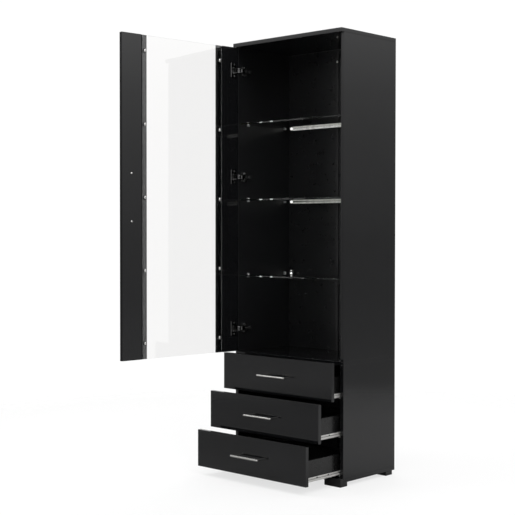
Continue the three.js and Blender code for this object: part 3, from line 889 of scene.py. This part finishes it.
def light_button(name, radius, height, stretch=1.0):
    """A low lens that stands on Z = 0, round or stretched along Y."""
    steps = [math.pi / 2 * i / BUTTON_STEPS for i in range(BUTTON_STEPS)]
    dome = [
        (radius * math.cos(turn), height * (BUTTON_RIM + (1 - BUTTON_RIM) * math.sin(turn)))
        for turn in steps
    ]
    lens = turned(name, [(0, 0), (radius, 0), *dome, (0, height)], 32)
    lens.transform(Matrix.Diagonal((1, stretch, 1, 1)))
    return lens


# Each light bar's rows: name, height of the centre, height of the row, and its diffuser.
LIGHT_ROWS = {
    "middle": (
        ("over", 7.3 * MM, 7.0 * MM, warm_strip),
        ("under", -8.3 * MM, 6.6 * MM, dim_white),
    ),
    "upper": (
        ("over", 5.8 * MM, 10.0 * MM, warm_strip),
        ("under", -7.4 * MM, 8.2 * MM, lit_white),
    ),
}
# Where a row starts past its button and ends short of the bar, and the dark wedge between rows.
ROW_START = 9.2 * MM
ROW_END_GAP = 1 * MM
CHANNEL_START = (3.6 * MM, -4.8 * MM)
CHANNEL_END = (1 * MM, -1.6 * MM)
CHANNEL_THICKNESS = 2.2 * MM
# Each lens: radius, height and, for the small clip's two, the stretch along Z.
BUTTON = (8.6 * MM, 4.2 * MM)
CLIP_LENS = (7 * MM, 6 * MM, 1.1)
CLIP_CAP = (5.4 * MM, 4 * MM, 0.5)
CLIP_CAP_SPREAD = 14.6 * MM


def dress_lights():
    """Two rows of lenses and a round button on each light bar, and the small clip's lens."""
    low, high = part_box("light_clip_lower")
    clip = Vector(((low.x + high.x) / 2, low.y, (low.z + high.z) / 2))
    first = clip.x + ROW_START
    button = light_button("light_button", *BUTTON)
    for level, rows in LIGHT_ROWS.items():
        low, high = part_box(f"light_bar_{level}")
        z = (low.z + high.z) / 2
        for name, centre, rise, glow in rows:
            row = lens_row(first, high.x - ROW_END_GAP, centre, rise)
            put(f"light_strip_{level}_{name}", row, Matrix.Translation((0, low.y, z)),
                "cabinet", "light_profile", glow)
        put(f"light_button_{level}", button, at((clip.x, low.y, z), -Y_AXIS), "cabinet",
            "light_profile", lit_lens)

    low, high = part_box("light_bar_middle")
    last = (low.x + high.x) / 2
    channel = sheet("light_channel", [
        (first, CHANNEL_START[0]), (last, CHANNEL_END[0]),
        (last, CHANNEL_END[1]), (first, CHANNEL_START[1]),
    ], 0, CHANNEL_THICKNESS)
    place = Vector((0, low.y, (low.z + high.z) / 2))
    put("light_channel_middle", channel, at(place, -Y_AXIS), "cabinet", "light_profile",
        dark_plastic)

    lens = light_button("light_lens", *CLIP_LENS)
    put("light_clip_lens", lens, at(clip, -Y_AXIS), "cabinet", "light_profile", lit_lens)
    cap = light_button("light_clip_cap", *CLIP_CAP)
    for end, way in ENDS:
        place = clip + way * CLIP_CAP_SPREAD * Z_AXIS
        put(f"light_clip_cap_{end}", cap, at(place, -Y_AXIS), "cabinet", "light_profile",
            lit_white)


STRIP_WEB = 1.2 * MM
STRIP_GAP = 0.3 * MM
STRIP_END_GAP = 0.5 * MM
STRIP_CAP = (4.6 * MM, 2 * MM)
STRIP_CAP_DROP = 53 * MM
STRIP_SCREW_RISE = 1.7 * MM


def dress_back():
    """The capped screw of the back's joint strip, and the strip's part behind the drawers."""
    low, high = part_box("back_joint_strip")
    back_low, back_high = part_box("back_panel_left")
    half, web = (high.x - low.x) / 2, STRIP_WEB / 2
    front, rear = back_low.y - STRIP_GAP, back_high.y + STRIP_GAP
    right = [
        (half, low.y), (half, front), (web, front), (web, rear), (half, rear), (half, high.y),
    ]
    outline = right + [(-x, y) for x, y in reversed(right)]
    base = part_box("bottom_panel")[1].z + STRIP_END_GAP
    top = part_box("divider_panel")[0].z - STRIP_END_GAP
    put("joint_strip_lower", sheet("strip_lower", outline, base, top), Matrix(), "cabinet",
        "joint_strip", bevel=0.2 * MM)
    place = Vector(((low.x + high.x) / 2, low.y, high.z - STRIP_CAP_DROP))
    # The cap takes the faintly glowing white finish, though it is no lamp: a painted highlight.
    cap = light_button("strip_cap", *STRIP_CAP)
    put("joint_strip_cap", cap, at(place, -Y_AXIS), "cabinet", "hinge_nickel", dim_white)
    head = screw_mesh("strip_screw")
    place.y -= STRIP_SCREW_RISE
    put("joint_strip_screw", head, at(place, -Y_AXIS), "cabinet", "hinge_nickel")


# ---------------------------------------------------------------- the drawers

HANDLE_POST_SPREAD = 64 * MM

# On a runner's outer face: screws and slots along it, and the seam that runs below them; slots and
# seam are thin dark sheets, painted shade.
RUNNER_INSET = 7 * MM
RUNNER_ROW_DROP = 4.4 * MM
RUNNER_SCREWS = (14 * MM, 115 * MM, 248 * MM, 282 * MM)
RUNNER_SLOTS = (81 * MM, 149 * MM, 217 * MM)
SLOT = (8 * MM, 4.2 * MM, 2.05 * MM)
SEAM_WIDTH = 1.2 * MM
SEAM_CORNER = 0.2 * MM
SEAM_DROP = 3 * MM
SEAM_END_GAP = 3 * MM
MARK_THICKNESS = 0.2 * MM


def dress_drawers():
    """Handle screws, the runners' screws, and thin dark sheets painted as shade in the runners'
    slots and seams.
    """
    head = screw_mesh("drawer_handle_screw")
    runner_screw = screw_mesh("runner_screw")
    slot = sheet("runner_slot", rounded(*SLOT), 0, MARK_THICKNESS)
    outwards = {1: ALONG_X, -1: Matrix.Rotation(math.pi, 4, "Z") @ ALONG_X}
    for name in DRAWERS:
        body = f"drawer_{name}"
        back_of_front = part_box(f"{body}_front")[1].y
        low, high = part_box(f"{body}_handle")
        z = (low.z + high.z) / 2
        for side, way in SIDES:
            place = Vector((way * HANDLE_POST_SPREAD, back_of_front, z))
            put(f"{body}_handle_screw_{side}", head, at(place, Y_AXIS, 0.3 * way), body,
                "hinge_nickel")

            low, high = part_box(f"{body}_runner_{side}")
            edge = (high.x if way > 0 else low.x) - way * RUNNER_INSET
            row = high.z - RUNNER_ROW_DROP
            for i, along in enumerate(RUNNER_SCREWS):
                place = Vector((edge, low.y + along, row))
                put(f"{body}_runner_screw_{side}_{i + 1}", runner_screw,
                    at(place, (way, 0, 0), i), body, "runner_zinc")

            # A thin dark sheet along the runner: painted shade for its seam.
            length = high.y - low.y - 2 * SEAM_END_GAP
            seam = rounded(length, SEAM_WIDTH, SEAM_CORNER)
            line = sheet("runner_line", seam, 0, MARK_THICKNESS)
            place = Vector((edge, (low.y + high.y) / 2, row - SEAM_DROP))
            put(f"{body}_runner_line_{side}", line, Matrix.Translation(place) @ outwards[way],
                body, "runner_zinc", matt_rubber_and_shade)
            # Thin dark sheets over the slots: painted shade.
            for i, along in enumerate(RUNNER_SLOTS):
                place = Vector((edge, low.y + along, row))
                put(f"{body}_runner_slot_{side}_{i + 1}", slot,
                    Matrix.Translation(place) @ outwards[way], body, "runner_zinc",
                    matt_rubber_and_shade)


# ---------------------------------------------------------------- floor, world and lamps

FLOOR_RADIUS = 3.6
FLOOR_THICKNESS = 0.02
FLOOR_FADE = (1.7, 3.4)
FLOOR_LIFT = 0.75
FLOOR_TONE = (0.93, 0.95)
FLOOR_GLOW = 0.95
# In reflections the floor is darker, with a painted pool of light: its tone falls between two radii
# about a centre.
POOL_CENTRE = (1.6, 1.6, 0.0)
POOL_RADII = (1.2, 3.6)
POOL_TONES = (0.52, 0.24)


def make_floor():
    """A plain pale round floor that fades into the backdrop at its rim."""
    mesh = sheet("floor", ring(FLOOR_RADIUS, 96), -FLOOR_THICKNESS, 0)
    floor = bpy.data.objects.new("floor", mesh)
    bpy.context.scene.collection.objects.link(floor)
    material, tree, place, output = begin("pale_floor")
    far = add(tree, "VectorMath", {0: place}, operation="LENGTH").outputs["Value"]
    # A painted pool of light that only reflections see.
    off = add(tree, "VectorMath", {0: place, 1: POOL_CENTRE}, operation="DISTANCE")
    pool = span(tree, off.outputs["Value"], *POOL_RADII, *POOL_TONES, smooth=True)
    reflected = mirror_ray(tree)
    pale = noise(tree, place, 1.5, 2.0)
    tone = span(tree, pale, *NOISE_RANGE, *FLOOR_TONE)
    shade = maths(tree, "MULTIPLY", reflected, maths(tree, "SUBTRACT", pool, tone))
    colour = add(tree, "CombineColor", {
        i: maths(tree, "ADD", tone, shade) for i in range(3)
    }).outputs[0]
    matt = add(tree, "BsdfDiffuse", {"Color": colour})
    seen = add(tree, "LightPath").outputs["Is Camera Ray"]
    lift = add(tree, "Emission", {"Color": grey(FLOOR_GLOW)})
    lifted = maths(tree, "MULTIPLY", seen, FLOOR_LIFT)
    pale_matt = add(tree, "MixShader", {0: lifted, 1: matt.outputs[0], 2: lift.outputs[0]})
    clear = add(tree, "BsdfTransparent")
    fade = span(tree, far, *FLOOR_FADE, 0, 1, smooth=True)
    both = add(tree, "MixShader", {0: fade, 1: pale_matt.outputs[0], 2: clear.outputs[0]})
    tree.links.new(both.outputs[0], output.inputs[0])
    mesh.materials.append(material)


# How bright reflections see the studio: (share of the rise or of the full turn, brightness).
REFLECTED_RISE = (
    (0.0, 0.62), (0.11, 0.50), (0.21, 0.44), (0.31, 0.465), (0.40, 0.58), (0.50, 0.69),
    (0.60, 0.88), (0.67, 1.16), (0.72, 1.4), (1.0, 1.2),
)
REFLECTED_TURN = (
    (0.0, 0.8), (0.115, 0.72), (0.14, 0.70), (0.165, 0.22), (0.22, 0.25), (0.30, 0.7),
    (0.5, 0.7), (0.603, 0.58), (0.67, 1.0), (0.8, 1.0), (1.0, 0.8),
)
GRADIENT_RISE = (-0.15, 0.3)
BACKDROP = 1.02
DIFFUSE_DIM = 0.1


def make_world():
    """A white studio: plain white to look at, and uneven up and around in reflections."""
    world = bpy.data.worlds.new("studio")
    bpy.context.scene.world = world
    world.use_nodes = True
    world.cycles.sampling_method = "NONE"
    tree = world.node_tree
    tree.nodes.clear()
    way = add(tree, "TexCoord").outputs["Generated"]
    parts = add(tree, "SeparateXYZ", {0: way}).outputs
    rise = ramp(tree, span(tree, parts[2], *GRADIENT_RISE, 0, 1), REFLECTED_RISE)
    bearing = maths(tree, "ARCTAN2", parts[0], parts[1])
    turn = ramp(tree, span(tree, bearing, -math.pi, math.pi, 0, 1), REFLECTED_TURN)
    product = maths(tree, "MULTIPLY", rise, turn)
    mirrored = maths(tree, "MULTIPLY", product, RAMP_SCALE * RAMP_SCALE)
    glossy = mirror_ray(tree)
    diffuse = add(tree, "LightPath").outputs["Is Diffuse Ray"]
    plain = maths(tree, "SUBTRACT", BACKDROP, maths(tree, "MULTIPLY", diffuse, DIFFUSE_DIM))
    change = maths(tree, "MULTIPLY", glossy, maths(tree, "SUBTRACT", mirrored, plain))
    level = maths(tree, "ADD", plain, change)
    light = add(tree, "Background", {"Color": grey(1), "Strength": level})
    output = add(tree, "OutputWorld")
    tree.links.new(light.outputs[0], output.inputs[0])


# Name, place, diameter and power of each lamp, and the point they all face.
LAMPS = (
    ("key", (2.2, -1.2, 4.0), 2.2, 60),
    ("fill", (-2.0, -1.9, 4.0), 2.2, 40),
    ("rim", (-1.2, 2.3, 3.9), 2.0, 40),
)
LAMP_AIM = Vector((0, 0, 0.9))


def make_lamps():
    """Large soft boxes high above, in front at each side and behind."""
    for name, place, size, power in LAMPS:
        data = bpy.data.lights.new(name, "AREA")
        data.shape = "DISK"
        data.size = size
        data.energy = power
        lamp = bpy.data.objects.new(name, data)
        bpy.context.scene.collection.objects.link(lamp)
        towards = LAMP_AIM - Vector(place)
        turn = towards.to_track_quat("-Z", "Y").to_matrix().to_4x4()
        lamp.matrix_world = Matrix.Translation(place) @ turn


make_camera()
finish_cad_nodes()
dress_door()
dress_hinge_arms()
dress_shelves()
dress_lights()
dress_back()
dress_drawers()
make_floor()
make_world()
make_lamps()
bpy.context.scene.view_settings.view_transform = "Standard"
bpy.context.scene.view_settings.look = "None"
